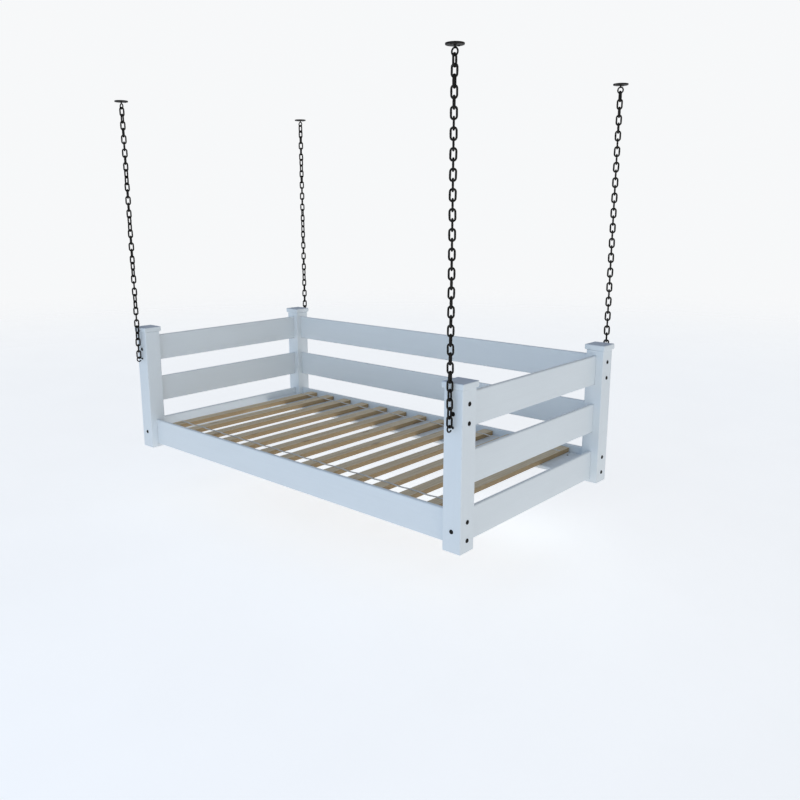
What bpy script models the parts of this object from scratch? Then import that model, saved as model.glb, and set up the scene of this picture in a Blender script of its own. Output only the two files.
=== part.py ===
"""Hanging daybed porch swing: a painted post-and-rail frame with a slatted deck, on four chains.

Metres, +Z up. +X runs along the bed towards its right end, -Y is the open front.
The origin lies on the floor plane of the post feet, under the centre of the bed.
"""
import math

import bmesh
import bpy
from mathutils import Matrix, Vector

# ---- Driving dimensions, in metres ------------------------------------------------
GAP = 0.0003                 # clearance between pieces that touch

BED_LENGTH = 2.260           # over the posts, along X
BED_WIDTH = 1.204            # over the posts, along Y

POST_SIZE = 0.089
POST_HEIGHT = 0.662
POST_EDGE = 0.003

CAP_THICKNESS = 0.0255
CAP_OVERHANG = 0.0075
CAP_EDGE = 0.003

RAIL_HEIGHT = 0.142
RAIL_THICKNESS = 0.018
RAIL_RECESS = 0.0375         # from a post's outer face to the rail's outer face
RAIL_SPACING = 0.096         # clear height between two rails
RAIL_FOOT = 0.0175           # from the post feet up to the lowest rail
RAIL_EDGE = 0.0035
HOUSING_DEPTH = 0.012        # how far a rail's end is let into a post

DECK_BOARD_WIDTH = 0.282
DECK_BOARD_THICKNESS = 0.019
DECK_LEVEL = 0.122           # underside of the slats, top of the deck board
CLEAT_SIZE = 0.038

SLAT_COUNT = 13
SLAT_WIDTH = 0.0605
SLAT_THICKNESS = 0.024
SLAT_PITCH = 0.1545
SLAT_EDGE = 0.003
SLAT_END_PLAY = 0.004        # from a slat's end to the rail
TAPE_WIDTH = 0.012
TAPE_THICKNESS = 0.0012
TAPE_INSET = 0.088           # from the rail's inner face to the tape's centre

WIRE = 0.008                 # chain wire
LINK_PITCH = 0.0348
LINK_INNER_WIDTH = 0.0135
LINK_BITE = 0.0004           # how far links of one run press into each other
LINK_BEND = math.radians(45) # turn at each of a plain link's eight corners
LINK_NOSE = 0.45             # flat end of a plain link, as a share of its width
LOWER_LINKS = 5              # from the screw eye up past the cap
UPPER_LINKS = 32

EYE_WIRE = 0.0066
EYE_RADIUS = 0.013           # to the wire's centre
EYE_HEIGHT = 0.511
EYE_STANDOFF = 0.0215        # from the post's face to the ring's centre
EYE_SHANK = 0.060            # length inside the post
EYE_NECK = 0.3               # straight wire outside the post, as a share of the way to the ring
EYE_RING_START = math.radians(158)
EYE_RING_SWEEP = math.radians(308)
EYE_RING_STEPS = 18

PLATE_RADIUS = 0.034
PLATE_THICKNESS = 0.006
PLATE_RING_DROP = 0.022      # from the plate's underside to its ring's centre
PLATE_NECK_RADIUS = 0.0053   # of the stem between plate and ring
PLATE_NECK_SINK = 0.0005     # how far the stem runs into the plate, and into the ring
PLATE_SIDES = 24
PLATE_RING_STEPS = 16

BOLT_SINK_RADIUS = 0.0098
BOLT_SINK_DEPTH = 0.0015
BOLT_PAIR_OFFSET = 0.0385    # above and below the rail's centre line

ROD_SIDES = 10
BOLT_SIDES = 12
EYE_HOLE_SIDES = 8
WELD_DISTANCE = 0.00001
SMOOTH_ANGLE = math.radians(40)

# ---- Worked out from the driving dimensions ----------------------------------------
HALF_LENGTH = BED_LENGTH / 2
HALF_WIDTH = BED_WIDTH / 2
POST_X = HALF_LENGTH - POST_SIZE / 2
POST_Y = HALF_WIDTH - POST_SIZE / 2
RAIL_X = HALF_LENGTH - RAIL_RECESS - RAIL_THICKNESS / 2
RAIL_Y = HALF_WIDTH - RAIL_RECESS - RAIL_THICKNESS / 2
INNER_X = RAIL_X - RAIL_THICKNESS / 2
INNER_Y = RAIL_Y - RAIL_THICKNESS / 2
RAIL_LEVELS = {
    name: RAIL_FOOT + RAIL_HEIGHT / 2 + step * (RAIL_HEIGHT + RAIL_SPACING)
    for step, name in enumerate(("bottom", "middle", "top"))
}
CLEAT_REACH_X = HALF_LENGTH - POST_SIZE - GAP
CLEAT_REACH_Y = HALF_WIDTH - POST_SIZE - GAP
BOARD_TOP = DECK_LEVEL - GAP
BOARD_BASE = BOARD_TOP - DECK_BOARD_THICKNESS

WIRE_RADIUS = WIRE / 2
END_REACH = WIRE_RADIUS * math.cos(LINK_BEND / 2)         # wire radius left at a plain link's bends
LINK_HALF_LENGTH = LINK_PITCH / 2 + END_REACH - LINK_BITE / 2
LINK_HALF_WIDTH = (LINK_INNER_WIDTH + WIRE) / 2
CHAIN_Y = HALF_WIDTH + EYE_STANDOFF
HOOK = EYE_WIRE / 2 + END_REACH + GAP       # between a ring's wire and a link's wire
JOINT = 2 * END_REACH + GAP                 # between the wires of two links at a joint
EYE_TOP = EYE_HEIGHT + EYE_RADIUS           # the bar of the eye that the first link hangs by

# Heights of the chain's joints, upwards from the screw eye. Each run of links hangs by its top wire.
LOWER_FIRST = EYE_TOP - HOOK + LINK_HALF_LENGTH
LOWER_TOP = LOWER_FIRST + (LOWER_LINKS - 1) * LINK_PITCH + LINK_HALF_LENGTH
UPPER_FIRST = LOWER_TOP - JOINT + LINK_HALF_LENGTH
UPPER_TOP = UPPER_FIRST + (UPPER_LINKS - 1) * LINK_PITCH + LINK_HALF_LENGTH
TOP_LINK = UPPER_TOP - JOINT + LINK_HALF_LENGTH
CEILING_RING = TOP_LINK + LINK_HALF_LENGTH - HOOK + EYE_RADIUS

CORNERS = {
    f"{depth}_{side}": (sx, sy)
    for depth, sy in (("front", -1), ("back", 1))
    for side, sx in (("left", -1), ("right", 1))
}

WHITE_PAINT = ("white_paint", (0.80, 0.84, 0.88), 0.45, 0.0)
BARE_WOOD = ("slat_wood", (0.30, 0.21, 0.12), 0.50, 0.0)
TAPE_CLOTH = ("tape_cloth", (0.62, 0.60, 0.56), 0.90, 0.0)
DARK_STEEL = ("dark_steel", (0.02, 0.02, 0.02), 0.42, 0.9)


# ---- Scene and helpers --------------------------------------------------------------
def clear_scene():
    for old in list(bpy.data.objects):
        bpy.data.objects.remove(old, do_unlink=True)


def new_collection(name):
    collection = bpy.data.collections.new(name)
    bpy.context.scene.collection.children.link(collection)
    return collection


def material(finish):
    name, colour, roughness, metallic = finish
    found = bpy.data.materials.get(name)
    if found:
        return found
    made = bpy.data.materials.new(name)
    made.use_nodes = True
    shader = made.node_tree.nodes["Principled BSDF"]
    shader.inputs["Base Color"].default_value = (*colour, 1.0)
    shader.inputs["Roughness"].default_value = roughness
    shader.inputs["Metallic"].default_value = metallic
    made.diffuse_color = (*colour, 1.0)
    return made


def axis_point(name, location):
    """An empty on a joint's axis, for the piece that turns there to hang from."""
    empty = bpy.data.objects.new(name, None)
    PARTS.objects.link(empty)
    empty.location = location
    return empty


def place(mesh, name, finish, location, parent=None):
    """Put a mesh into the part's collection as one named piece, its origin at a place in the world."""
    piece = bpy.data.objects.new(name, mesh)
    PARTS.objects.link(piece)
    piece.location = location
    mesh.materials.append(material(finish))
    if parent:
        piece.parent = parent
        piece.location = Vector(location) - parent.location
    return piece


def mesh_from(build, name):
    """Run a bmesh builder and keep its result as a mesh."""
    shape = bmesh.new()
    build(shape)
    bmesh.ops.recalc_face_normals(shape, faces=shape.faces)
    mesh = bpy.data.meshes.new(name)
    shape.to_mesh(mesh)
    shape.free()
    return mesh


def box_builder(size, centre=(0, 0, 0)):
    """Return a builder that adds one box."""
    def build(shape):
        bmesh.ops.create_cube(shape, size=1.0)
        bmesh.ops.scale(shape, vec=size, verts=shape.verts)
        bmesh.ops.translate(shape, vec=centre, verts=shape.verts)
    return build


def ease_edges(piece, width):
    """Round a board's edges over with one flat."""
    bevel = piece.modifiers.new("eased_edges", "BEVEL")
    bevel.width = width
    bevel.segments = 1
    bevel.limit_method = "ANGLE"


def board(name, size, centre, edge, parent, finish=WHITE_PAINT):
    piece = place(mesh_from(box_builder(size), name), name, finish, centre, parent)
    ease_edges(piece, edge)
    return piece


def rod_builder(radius, length, centre, axis, sides=ROD_SIDES):
    """Return a builder that adds one round bar, centred at a point, along X, Y or Z."""
    turn = {"X": Matrix.Rotation(math.pi / 2, 4, "Y"), "Y": Matrix.Rotation(math.pi / 2, 4, "X"),
            "Z": Matrix.Identity(4)}[axis]

    def build(shape):
        bmesh.ops.create_cone(shape, cap_ends=True, segments=sides, radius1=radius, radius2=radius,
                              depth=length, matrix=Matrix.Translation(centre) @ turn)
    return build


def combine(piece, mesh, name, operation):
    """Cut a piece with a mesh given in the piece's own frame, or join the two."""
    other = bpy.data.objects.new(name, mesh)
    CUTTERS.objects.link(other)
    other.matrix_basis = Matrix.Translation(world_place(piece))
    other.hide_render = True
    other.display_type = "WIRE"
    boolean = piece.modifiers.new(name, "BOOLEAN")
    boolean.object = other
    boolean.operation = operation
    boolean.solver = "EXACT"
    return boolean


def world_place(piece):
    """Where a piece's origin is in the world; parents here are never turned or scaled."""
    place_sum = Vector(piece.location)
    if piece.parent:
        place_sum += piece.parent.location
    return place_sum


def wire_mesh(name, points, radius, closed, resolution):
    """Sweep a round wire along points, as a closed mesh."""
    curve = bpy.data.curves.new(name, "CURVE")
    curve.dimensions = "3D"
    curve.bevel_depth = radius
    curve.bevel_resolution = resolution
    curve.use_fill_caps = not closed
    spline = curve.splines.new("POLY")
    spline.points.add(len(points) - 1)
    for point, where in zip(spline.points, points):
        point.co = (*where, 1.0)
    spline.use_cyclic_u = closed
    holder = bpy.data.objects.new(name, curve)
    PARTS.objects.link(holder)
    evaluated = holder.evaluated_get(bpy.context.evaluated_depsgraph_get())
    mesh = bpy.data.meshes.new_from_object(evaluated)
    bpy.data.objects.remove(holder, do_unlink=True)
    bpy.data.curves.remove(curve)
    shape = bmesh.new()
    shape.from_mesh(mesh)
    bmesh.ops.remove_doubles(shape, verts=shape.verts, dist=WELD_DISTANCE)
    bmesh.ops.recalc_face_normals(shape, faces=shape.faces)
    shape.to_mesh(mesh)
    shape.free()
    return mesh


def shade_round(piece):
    piece.data.shade_smooth()
    piece.data.set_sharp_from_angle(angle=SMOOTH_ANGLE)


# ---- Wooden frame ---------------------------------------------------------------------
def housing(size, centre):
    """Return a builder for the opening that takes a board of a given size."""
    return box_builder([extent + 2 * GAP for extent in size], centre)


def post_cuts(sx, sy):
    """Rail housings, bolt counterbores and the screw-eye hole of one post, about its centre."""
    cuts = []
    middle = POST_HEIGHT / 2
    depth = 2 * HOUSING_DEPTH
    for level in RAIL_LEVELS.values():
        cuts.append(housing((RAIL_THICKNESS, depth, RAIL_HEIGHT),
                            (sx * (RAIL_X - POST_X), -sy * POST_SIZE / 2, level - middle)))
    back_levels = RAIL_LEVELS if sy > 0 else ("bottom",)
    for name in back_levels:
        cuts.append(housing((depth, RAIL_THICKNESS, RAIL_HEIGHT),
                            (-sx * POST_SIZE / 2, sy * (RAIL_Y - POST_Y), RAIL_LEVELS[name] - middle)))
    for name in ("bottom", "top"):
        height = RAIL_LEVELS[name] - middle
        end_face = sx * POST_SIZE / 2
        side_face = sy * POST_SIZE / 2
        for offset in (-BOLT_PAIR_OFFSET, BOLT_PAIR_OFFSET):
            cuts.append(rod_builder(BOLT_SINK_RADIUS, 2 * BOLT_SINK_DEPTH,
                                    (end_face, 0, height + offset), "X", BOLT_SIDES))
        cuts.append(rod_builder(BOLT_SINK_RADIUS, 2 * BOLT_SINK_DEPTH,
                                (0, side_face, height), "Y", BOLT_SIDES))
    cuts.append(rod_builder(EYE_WIRE / 2 + GAP, 2 * (EYE_SHANK + GAP),
                            (0, sy * POST_SIZE / 2, EYE_HEIGHT - middle), "Y", EYE_HOLE_SIDES))
    return cuts


def make_posts():
    for corner, (sx, sy) in CORNERS.items():
        post = board(f"post_{corner}", (POST_SIZE, POST_SIZE, POST_HEIGHT),
                     (sx * POST_X, sy * POST_Y, POST_HEIGHT / 2), POST_EDGE, BED)
        for number, builder in enumerate(post_cuts(sx, sy)):
            name = f"cut_{corner}_{number}"
            combine(post, mesh_from(builder, name), name, "DIFFERENCE")
        cap_size = POST_SIZE + 2 * CAP_OVERHANG
        board(f"cap_{corner}", (cap_size, cap_size, CAP_THICKNESS),
              (sx * POST_X, sy * POST_Y, POST_HEIGHT + GAP + CAP_THICKNESS / 2), CAP_EDGE, BED)


def make_rails():
    end_length = BED_WIDTH - 2 * POST_SIZE + 2 * HOUSING_DEPTH
    side_length = BED_LENGTH - 2 * POST_SIZE + 2 * HOUSING_DEPTH
    for level, height in RAIL_LEVELS.items():
        for side, sx in (("left", -1), ("right", 1)):
            board(f"end_rail_{side}_{level}", (RAIL_THICKNESS, end_length, RAIL_HEIGHT),
                  (sx * RAIL_X, 0, height), RAIL_EDGE, BED)
        board(f"back_rail_{level}", (side_length, RAIL_THICKNESS, RAIL_HEIGHT),
              (0, RAIL_Y, height), RAIL_EDGE, BED)
    board("front_rail", (side_length, RAIL_THICKNESS, RAIL_HEIGHT),
          (0, -RAIL_Y, RAIL_LEVELS["bottom"]), RAIL_EDGE, BED)


# ---- Deck -----------------------------------------------------------------------------
def make_cleats():
    side_length = 2 * CLEAT_REACH_X
    front_top = DECK_LEVEL - GAP
    back_top = BOARD_BASE - GAP
    cleat_y = INNER_Y - GAP - CLEAT_SIZE / 2
    board("front_cleat", (side_length, CLEAT_SIZE, CLEAT_SIZE),
          (0, -cleat_y, front_top - CLEAT_SIZE / 2), RAIL_EDGE, BED)
    board("back_cleat", (side_length, CLEAT_SIZE, CLEAT_SIZE),
          (0, cleat_y, back_top - CLEAT_SIZE / 2), RAIL_EDGE, BED)
    # The end cleats carry the deck board's ends, and stop short of the back cleat and the back posts.
    cleat_x = INNER_X - GAP - CLEAT_SIZE / 2
    back_end = min(cleat_y - CLEAT_SIZE / 2 - GAP, CLEAT_REACH_Y)
    front_end = INNER_Y - DECK_BOARD_WIDTH
    for side, sx in (("left", -1), ("right", 1)):
        board(f"end_cleat_{side}", (CLEAT_SIZE, back_end - front_end, CLEAT_SIZE),
              (sx * cleat_x, (back_end + front_end) / 2, back_top - CLEAT_SIZE / 2), RAIL_EDGE, BED)


def make_deck_board():
    """The wide board under the slats' back ends, notched around the two back posts."""
    length = 2 * (INNER_X - GAP)
    centre_y = INNER_Y - GAP - DECK_BOARD_WIDTH / 2
    deck = board("deck_board", (length, DECK_BOARD_WIDTH, DECK_BOARD_THICKNESS),
                 (0, centre_y, (BOARD_TOP + BOARD_BASE) / 2), RAIL_EDGE, BED)
    notch = POST_SIZE + 2 * GAP
    for side, sx in (("left", -1), ("right", 1)):
        builder = box_builder((notch, notch, 2 * DECK_BOARD_THICKNESS), (sx * POST_X, POST_Y - centre_y, 0))
        combine(deck, mesh_from(builder, f"notch_{side}"), f"notch_{side}", "DIFFERENCE")


def slat_x(index):
    return (index - (SLAT_COUNT - 1) / 2) * SLAT_PITCH


def make_slats():
    length = 2 * (INNER_Y - SLAT_END_PLAY)
    height = DECK_LEVEL + SLAT_THICKNESS / 2
    for index in range(SLAT_COUNT):
        board(f"slat_{index + 1:02d}", (SLAT_WIDTH, length, SLAT_THICKNESS),
              (slat_x(index), 0, height), SLAT_EDGE, BED, BARE_WOOD)
    tape_length = slat_x(SLAT_COUNT - 1) - slat_x(0) + SLAT_WIDTH - 2 * SLAT_EDGE
    tape_height = DECK_LEVEL + SLAT_THICKNESS + GAP + TAPE_THICKNESS / 2
    for name, sy in (("front", -1), ("back", 1)):
        size = (tape_length, TAPE_WIDTH, TAPE_THICKNESS)
        place(mesh_from(box_builder(size), "tape"), f"slat_tape_{name}", TAPE_CLOTH,
              (0, sy * (INNER_Y - TAPE_INSET), tape_height), BED)


# ---- Chains and fittings ----------------------------------------------------------------
def link_outline():
    """Centre line of one link in the XZ plane: two straight sides and an end in three runs."""
    corner = LINK_HALF_WIDTH * LINK_NOSE
    shoulder = LINK_HALF_LENGTH - (LINK_HALF_WIDTH - corner)
    quarter = [(LINK_HALF_WIDTH, shoulder), (corner, LINK_HALF_LENGTH)]
    outline = quarter + [(-x, z) for x, z in reversed(quarter)]
    outline += [(-x, -z) for x, z in outline]
    return [Vector((x, 0, z)) for x, z in outline]


def link_ring(name, heights, across):
    """Links at the given heights, all in one plane: across X, or across Y when turned."""
    turn = Matrix.Identity(4) if across == "X" else Matrix.Rotation(math.pi / 2, 4, "Z")
    single = wire_mesh(name, link_outline(), WIRE_RADIUS, True, 0)
    shape = bmesh.new()
    for height in heights:
        stand = Matrix.Translation((0, 0, height)) @ turn
        single.transform(stand)
        shape.from_mesh(single)
        single.transform(stand.inverted())
    mesh = bpy.data.meshes.new(name)
    shape.to_mesh(mesh)
    shape.free()
    bpy.data.meshes.remove(single)
    return mesh


def chain_run(name, count, first_across, location, parent):
    """A run of links as one solid, upwards from the first link's centre at its origin."""
    other_across = "Y" if first_across == "X" else "X"
    heights = [index * LINK_PITCH for index in range(count)]
    run = place(link_ring(name, heights[::2], first_across), name, DARK_STEEL, location, parent)
    if count > 1:
        combine(run, link_ring(f"{name}_mate", heights[1::2], other_across), f"{name}_mate", "UNION")


def screw_eye(name, sx, sy):
    """A bent-wire eye: shank into the post, then an open ring in the YZ plane."""
    face = POST_SIZE / 2
    path = [(-EYE_SHANK, 0.0), (EYE_NECK * (EYE_STANDOFF - EYE_RADIUS), 0.0)]
    for step in range(EYE_RING_STEPS + 1):
        angle = EYE_RING_START - EYE_RING_SWEEP * step / EYE_RING_STEPS
        path.append((EYE_STANDOFF + EYE_RADIUS * math.cos(angle), EYE_RADIUS * math.sin(angle)))
    points = [(0, sy * (face + out), up) for out, up in path]
    eye = place(wire_mesh(name, points, EYE_WIRE / 2, False, 1), name, DARK_STEEL,
                (sx * POST_X, sy * POST_Y, EYE_HEIGHT), BED)
    shade_round(eye)


def ceiling_eye(name, location):
    """A round ceiling plate with a welded ring in the XZ plane. Its origin is the ring's centre."""
    angles = [step * math.tau / PLATE_RING_STEPS for step in range(PLATE_RING_STEPS)]
    ring = [(EYE_RADIUS * math.cos(angle), 0, EYE_RADIUS * math.sin(angle)) for angle in angles]
    body = place(wire_mesh(name, ring, EYE_WIRE / 2, True, 1), name, DARK_STEEL, location)
    neck = PLATE_RING_DROP - EYE_RADIUS + 2 * PLATE_NECK_SINK
    neck_centre = PLATE_RING_DROP + PLATE_NECK_SINK - neck / 2

    def build(shape):
        rod_builder(PLATE_RADIUS, PLATE_THICKNESS, (0, 0, PLATE_RING_DROP + PLATE_THICKNESS / 2),
                    "Z", PLATE_SIDES)(shape)
        rod_builder(PLATE_NECK_RADIUS, neck, (0, 0, neck_centre), "Z")(shape)
    combine(body, mesh_from(build, f"{name}_plate"), f"{name}_plate", "UNION").use_self = True
    shade_round(body)


def make_chains():
    """Each chain hangs from its ceiling eye in three runs, and its lowest link holds a screw eye."""
    upper_across = "Y" if LOWER_LINKS % 2 else "X"
    top_across = "Y" if (LOWER_LINKS + UPPER_LINKS) % 2 else "X"
    for corner, (sx, sy) in CORNERS.items():
        x, y = sx * POST_X, sy * CHAIN_Y
        screw_eye(f"screw_eye_{corner}", sx, sy)
        level = axis_point(f"swing_level_axis_{corner}", (x, y, LOWER_TOP))
        chain_run(f"chain_lower_{corner}", LOWER_LINKS, "X", (x, y, LOWER_FIRST), level)
        swing = axis_point(f"swing_axis_{corner}", (x, y, UPPER_TOP))
        chain_run(f"chain_upper_{corner}", UPPER_LINKS, upper_across, (x, y, UPPER_FIRST), swing)
        sway = axis_point(f"sway_axis_{corner}", (x, y, CEILING_RING))
        chain_run(f"top_link_{corner}", 1, top_across, (x, y, TOP_LINK), sway)
        ceiling_eye(f"ceiling_eye_{corner}", (x, y, CEILING_RING))


clear_scene()
PARTS = new_collection("porch_swing")
CUTTERS = new_collection("cutters")
BED = axis_point("bed_axis", (-POST_X, -CHAIN_Y, EYE_TOP))     # the bed levels about its front left eye

make_posts()
make_rails()
make_cleats()
make_deck_board()
make_slats()
make_chains()
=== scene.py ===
import math
import random

import bmesh
import bpy
from bpy.props import FloatProperty, FloatVectorProperty, PointerProperty
from bpy.types import Operator, Panel, PropertyGroup
from mathutils import Matrix, Vector


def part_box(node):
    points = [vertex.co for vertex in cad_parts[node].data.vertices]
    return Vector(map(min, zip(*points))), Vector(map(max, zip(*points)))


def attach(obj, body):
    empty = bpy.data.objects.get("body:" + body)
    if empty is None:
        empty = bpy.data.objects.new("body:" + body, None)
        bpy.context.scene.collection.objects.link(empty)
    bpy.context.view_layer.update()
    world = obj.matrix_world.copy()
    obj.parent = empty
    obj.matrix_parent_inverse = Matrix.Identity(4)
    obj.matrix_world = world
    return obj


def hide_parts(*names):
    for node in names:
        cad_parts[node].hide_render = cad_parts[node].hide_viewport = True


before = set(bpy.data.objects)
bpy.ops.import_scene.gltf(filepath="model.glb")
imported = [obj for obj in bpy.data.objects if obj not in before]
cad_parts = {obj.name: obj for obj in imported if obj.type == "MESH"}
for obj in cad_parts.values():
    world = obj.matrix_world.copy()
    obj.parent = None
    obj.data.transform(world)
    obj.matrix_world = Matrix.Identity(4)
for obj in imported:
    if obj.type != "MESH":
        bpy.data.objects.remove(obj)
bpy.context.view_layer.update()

bl_info = {
    "name": "Hanging Daybed",
    "version": (1, 0, 0),
    "blender": (4, 5, 0),
    "location": "3D View > Sidebar > Daybed",
    "description": "Builds the painted boards, bare slats, bolts and chains of a hanging daybed",
    "category": "Object",
}

CORNERS = {"front_left": (-1, -1), "front_right": (1, -1), "back_left": (-1, 1), "back_right": (1, 1)}
ENDS = {"left": -1, "right": 1}
LEVELS = ("bottom", "middle", "top")
SLATS = [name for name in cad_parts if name.startswith("slat_") and "tape" not in name]
TAPES = [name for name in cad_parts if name.startswith("slat_tape")]

# Links in each run of chain, and which way the run's first link lies: 0 across X, 1 across Y.
CHAIN_RUNS = {"chain_lower": (5, 0), "chain_upper": (32, 1), "top_link": (1, 1)}
# How each chain is twisted: (link, degrees) from the screw eye up, even between the links named.
# A link is turned this far about the chain's line, on top of the quarter turn of every other link.
CHAIN_TWIST = {
    "front_left": ((0, 40), (1, 60), (6, 150), (11, 240), (17, 330), (24, 420), (31, 510), (37, 540)),
    "front_right": ((0, 4), (4, 11), (6, 20), (10, 26), (14, 27), (16, 33), (20, 37), (31, 37), (37, 8)),
    "back_left": (
        (0, -5), (4, -12), (5, -18), (7, -42), (14, -132), (25, -222), (31, -265), (36, -350), (37, -360)),
    "back_right": ((0, 8), (4, 24), (6, 27), (31, 26), (37, 6)),
}
LINK_LEAN = 1.5  # degrees that a link may lean in its own plane
LINK_SIDES = 12
WELD_LENGTH = 0.0022  # reach of a weld's swell along the link
WELD_BAND = 0.9  # points this far out, in half widths, are on a straight side

# Joinery, in metres.
LET_IN = 0.0004  # space cut round a board that is let into another
TOUCHING = 0.0001  # boxes that share less than this only touch
CUTTER_EDGE = 0.0001
BORE_RADIUS = 0.0096  # counterbore under a bolt head
BORE_DEPTH = 0.0015
BORE_LIP = 0.002  # how far the counterbore's cutter stands out of the post
STRAIGHT = 1e-12  # three points that span less than this lie in a line
GRAIN_SHIFT = (9, 0.09, 0.09)  # how far a board's own grain may lie from another's

# Turned profiles: (radius, height, flat sides); 0 flat sides is round.
BOARD_SCREW = ((0.0030, -0.004, 0), (0.0046, -0.0002, 0), (0.0047, 0.0006, 0), (0.0040, 0.0012, 0),
               (0.0015, 0.0013, 4), (0.0014, 0.0000, 4))
CEILING_SCREW = ((0.0046, 0, 0), (0.0044, 0.0010, 0), (0.0032, 0.0022, 0), (0.0019, 0.0026, 0),
                 (0.0014, 0.0026, 4), (0.0013, 0.0012, 4))
BOARD_SCREW_INSET = (0.095, 0.058)  # from the deck board's end and its back edge

TAPE_HOLD = 0.002  # the tape leaves a slat this far in from its edge
TAPE_SAG = 0.0030  # between two slats
SAG_STOPS = (0.1, 0.3, 0.5, 0.7, 0.9)
STAPLE_WIDTH = 0.0012
STAPLE_RISE = 0.0006
STAPLE_EDGE = 0.0002
STAPLE_INSET = 0.0015  # from the tape's edge to the crown's end
STAPLE_PLACES = (-0.012, 0.013)  # either side of a slat's middle

BOLT_SEAT = 0.0014  # how far a bolt's head goes into its counterbore
BOLT_SEAT_EDGE = 0.0006
BOLT_DOME = ((1.0, 0.35), (0.95, 0.62), (0.83, 0.84), (0.62, 0.97), (0.46, 1.0))  # shares of radius, rise
SOCKET_LEAD = 1.06  # width of the socket's mouth, in sockets
SOCKET_CHAMFER = 0.0003
SOCKET_DEPTH = 0.0022
BOLT_CREASE = 38  # degrees; sharper corners stay sharp
PLATE_CREASE = 35

EYE_SHANK = ((-0.055, 0), (-0.030, 0), (-0.008, 0), (0.001, 0.0003))  # out of the post, and up
EYE_START = 152  # degrees round the eye, from straight out
EYE_SWEEP = 300
EYE_STEPS = 20
EYE_TIP = (0.9, 0.55)  # the wire's last two radii, as shares of its own
WIRE_SIDES = 14
COLLAR = ((1.05, -0.001), (1.7, -0.0004), (1.7, 0.0008), (1.05, 0.0012))  # wire radii, height

PLATE_THICKNESS = 0.006
PLATE_FILLET = 0.0012
PLATE_RIM = 0.0003  # chamfer against the ceiling
PLATE_HEART = 0.004  # radius of the disk at the middle of each flat
PLATE_RING = 0.013  # to the wire's centre
RING_STEPS = 32
NECK_SINK = 0.0005  # how far the ring's neck runs into the plate
NECK_WIDTHS = (0.9, 1.05, 1.7)  # in wire radii, from the ring up
NECK_START = 0.3  # wire radii below the ring's top
SCREW_SPREAD = 0.66  # from a plate's centre to its screws, in plate radii
SCREW_SINK = 0.0002

NOISE_ROUGHNESS = 0.55
# Noise scales along, across and through a board, per metre.
PAINT_GRAIN = (2.0, 85.0, 85.0)
BRUSH_STROKES = (7.0, 420.0, 420.0)
PAINT_CLOUDS = (2.2, 7.0, 7.0)
SLAT_DRIFT = (1.6, 5.0, 5.0)
SLAT_FIBRES = (9.0, 520.0, 520.0)
SLAT_PATCHES = (3.0, 16.0, 16.0)
SLAT_STREAKS = (2.4, 105.0, 105.0)
SLAT_KNOTS = (3.4, 17.0, 17.0)
TAPE_THREAD = 0.0011  # from one thread of the weave to the next

# Tones laid over the settings' colours.
PAINT_SPECK = (0.40, 0.37, 0.33)
RING_BROWN = (0.40, 0.245, 0.115)
FIBRE_BROWN = (0.36, 0.24, 0.13)
PALE_PATCH = (0.66, 0.53, 0.36)
WEATHERED_STREAK = (0.44, 0.34, 0.21)
WEATHERED_RING = (0.40, 0.28, 0.15)
WEATHERED_FIBRE = (0.36, 0.29, 0.20)
KNOT_BROWN = (0.16, 0.095, 0.05)
RUBBED_EDGE = (0.70, 0.60, 0.44)
TAPE_SOIL = (0.40, 0.36, 0.29)
RUST = (0.085, 0.040, 0.018)
BRIGHT_ZINC = (0.52, 0.53, 0.54)
DULL_ZINC = (0.30, 0.31, 0.32)

FLOOR_RADIUS = 16.0
FLOOR_SIDES = 96
FLOOR_FADE = (3.5, 13.0)  # the floor thins out to the backdrop between these distances
SIDE_SKY = (-0.5, 0.8)  # the sky changes from front to side between these directions along X
BACK_SKY = (-0.2, 0.7)  # and from there to the back between these along Y
ROOF_SKY = (0.0, 0.85)  # and from the horizon to overhead between these heights
ROOF_OPENING = 0.3  # how much of the roof's cover is lost towards the open front
SENSOR_WIDTH = 36


def middle(node):
    low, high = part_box(node)
    return (low + high) / 2


def extent(node):
    low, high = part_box(node)
    return high - low


# ---- Settings --------------------
class DAYBED_PG_boards(PropertyGroup):
    """Sizes and colours of the painted boards and the bare slats"""
    post_edge: FloatProperty(
        name="Post edge", description="Radius on the posts' long edges", default=0.0034, unit="LENGTH")
    cap_edge: FloatProperty(
        name="Cap edge", description="Radius round a post cap", default=0.0040, unit="LENGTH")
    board_edge: FloatProperty(
        name="Board edge", description="Radius on rails and cleats", default=0.0060, unit="LENGTH")
    slat_edge: FloatProperty(
        name="Slat edge", description="Radius on the slats", default=0.0032, unit="LENGTH")
    paint: FloatVectorProperty(
        name="Paint", description="Satin white of the boards", subtype="COLOR",
        default=(0.765, 0.81, 0.84), min=0, max=1)
    # Painted shade: a blue-grey laid over the paint on upward faces, darkening the tops as the light falls
    # on them.
    top_shade: FloatVectorProperty(
        name="Dust", description="Fine dust that lies on the caps and other level faces", subtype="COLOR",
        default=(0.33, 0.41, 0.58), min=0, max=1)
    primer: FloatVectorProperty(
        name="Primer", description="What shows where the paint is rubbed thin", subtype="COLOR",
        default=(0.62, 0.62, 0.60), min=0, max=1)
    slat_wood: FloatVectorProperty(
        name="Slat wood", description="Fresh face of the bare slats", subtype="COLOR",
        default=(0.42, 0.30, 0.165), min=0, max=1)
    # Weathering and painted light: the paler tone of the slats' upper faces, partly their greyed weathering
    # and partly painted light for the brighter light on the tops.
    slat_weathered_lit_top: FloatVectorProperty(
        name="Slat weathering", description="Greyed upper face of the slats", subtype="COLOR",
        default=(0.78, 0.665, 0.49), min=0, max=1)
    tape: FloatVectorProperty(
        name="Tape", description="Woven tape that spaces the slats", subtype="COLOR",
        default=(0.72, 0.70, 0.66), min=0, max=1)


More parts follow.
